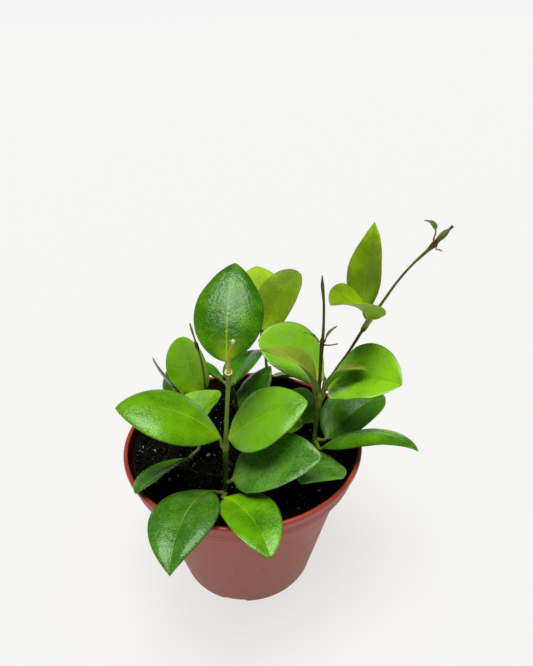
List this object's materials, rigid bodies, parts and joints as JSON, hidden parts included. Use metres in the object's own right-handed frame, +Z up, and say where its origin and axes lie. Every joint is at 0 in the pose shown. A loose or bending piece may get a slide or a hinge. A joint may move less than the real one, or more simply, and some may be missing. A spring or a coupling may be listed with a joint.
{
  "type": "potted house plant",
  "caption": "Young wax plant with glossy oval leaves on thin upright stems and a long climbing shoot, in dark soil in a tapered terracotta-coloured nursery pot.",
  "frame": {"origin": "centre of the pot's foot on the surface it stands on", "axes": "+Z up, -Y towards the front leaves, +X towards the climbing shoot"},
  "size_m": [0.1616, 0.1502, 0.1868],
  "materials": {
    "stem_brown": "satin bark",
    "leaf_dark": "glossy, waxy",
    "stalk_dry": "dry, matt",
    "stem_green": "satin bark",
    "leaf_lime": "satin, young leaf",
    "leaf_mature": "glossy, waxy",
    "stem_red": "satin bark",
    "scar": "dry, matt",
    "soil": "rough, moist",
    "pot_plastic": "satin, finely scratched",
    "leaf_young": "satin, young leaf"
  },
  "bodies": {
    "root": {"bud_leaf_left": "leaf_dark", "bud_leaf_right": "leaf_dark", "cut_scar": "scar", "flower_stalk": "stalk_dry", "leaf_back_left": "leaf_lime", "leaf_back_low": "leaf_dark", "leaf_back_right": "leaf_young", "leaf_front_left": "leaf_mature", "leaf_front_right": "leaf_mature", "leaf_inner_back": "leaf_dark", "leaf_inner_left": "leaf_dark", "leaf_inner_low": "leaf_dark", "leaf_inner_right": "leaf_dark", "leaf_left_back": "leaf_dark", "leaf_left_inner": "leaf_mature", "leaf_left_low": "leaf_dark", "leaf_left_thin": "leaf_dark", "leaf_low_right": "leaf_dark", "leaf_middle_left": "leaf_mature", "leaf_middle_low": "leaf_mature", "leaf_middle_right": "leaf_mature", "leaf_red_stem": "leaf_mature", "leaf_right_back": "leaf_dark", "leaf_right_front": "leaf_dark", "leaf_right_long": "leaf_mature", "leaf_rim_left": "leaf_mature", "leaf_rim_right": "leaf_mature", "leaf_tall": "leaf_mature", "leaf_top_folded": "leaf_lime", "leaf_top_upright": "leaf_lime", "pot": "pot_plastic", "shoot_bract": "scar", "shoot_bud": "stem_brown", "shoot_inner": "stem_green", "shoot_leaf": "leaf_dark", "shoot_left": "stem_green", "shoot_left_back": "stem_green", "shoot_middle": "stem_green", "soil": "soil", "stem_back": "stem_green", "stem_climbing": "stem_green", "stem_front": "stem_green", "stem_red": "stem_red", "stem_right": "stem_brown", "stem_spur": "stem_brown", "young_leaf_left": "leaf_young", "young_leaf_right": "leaf_young"}
  },
  "joints": []
}
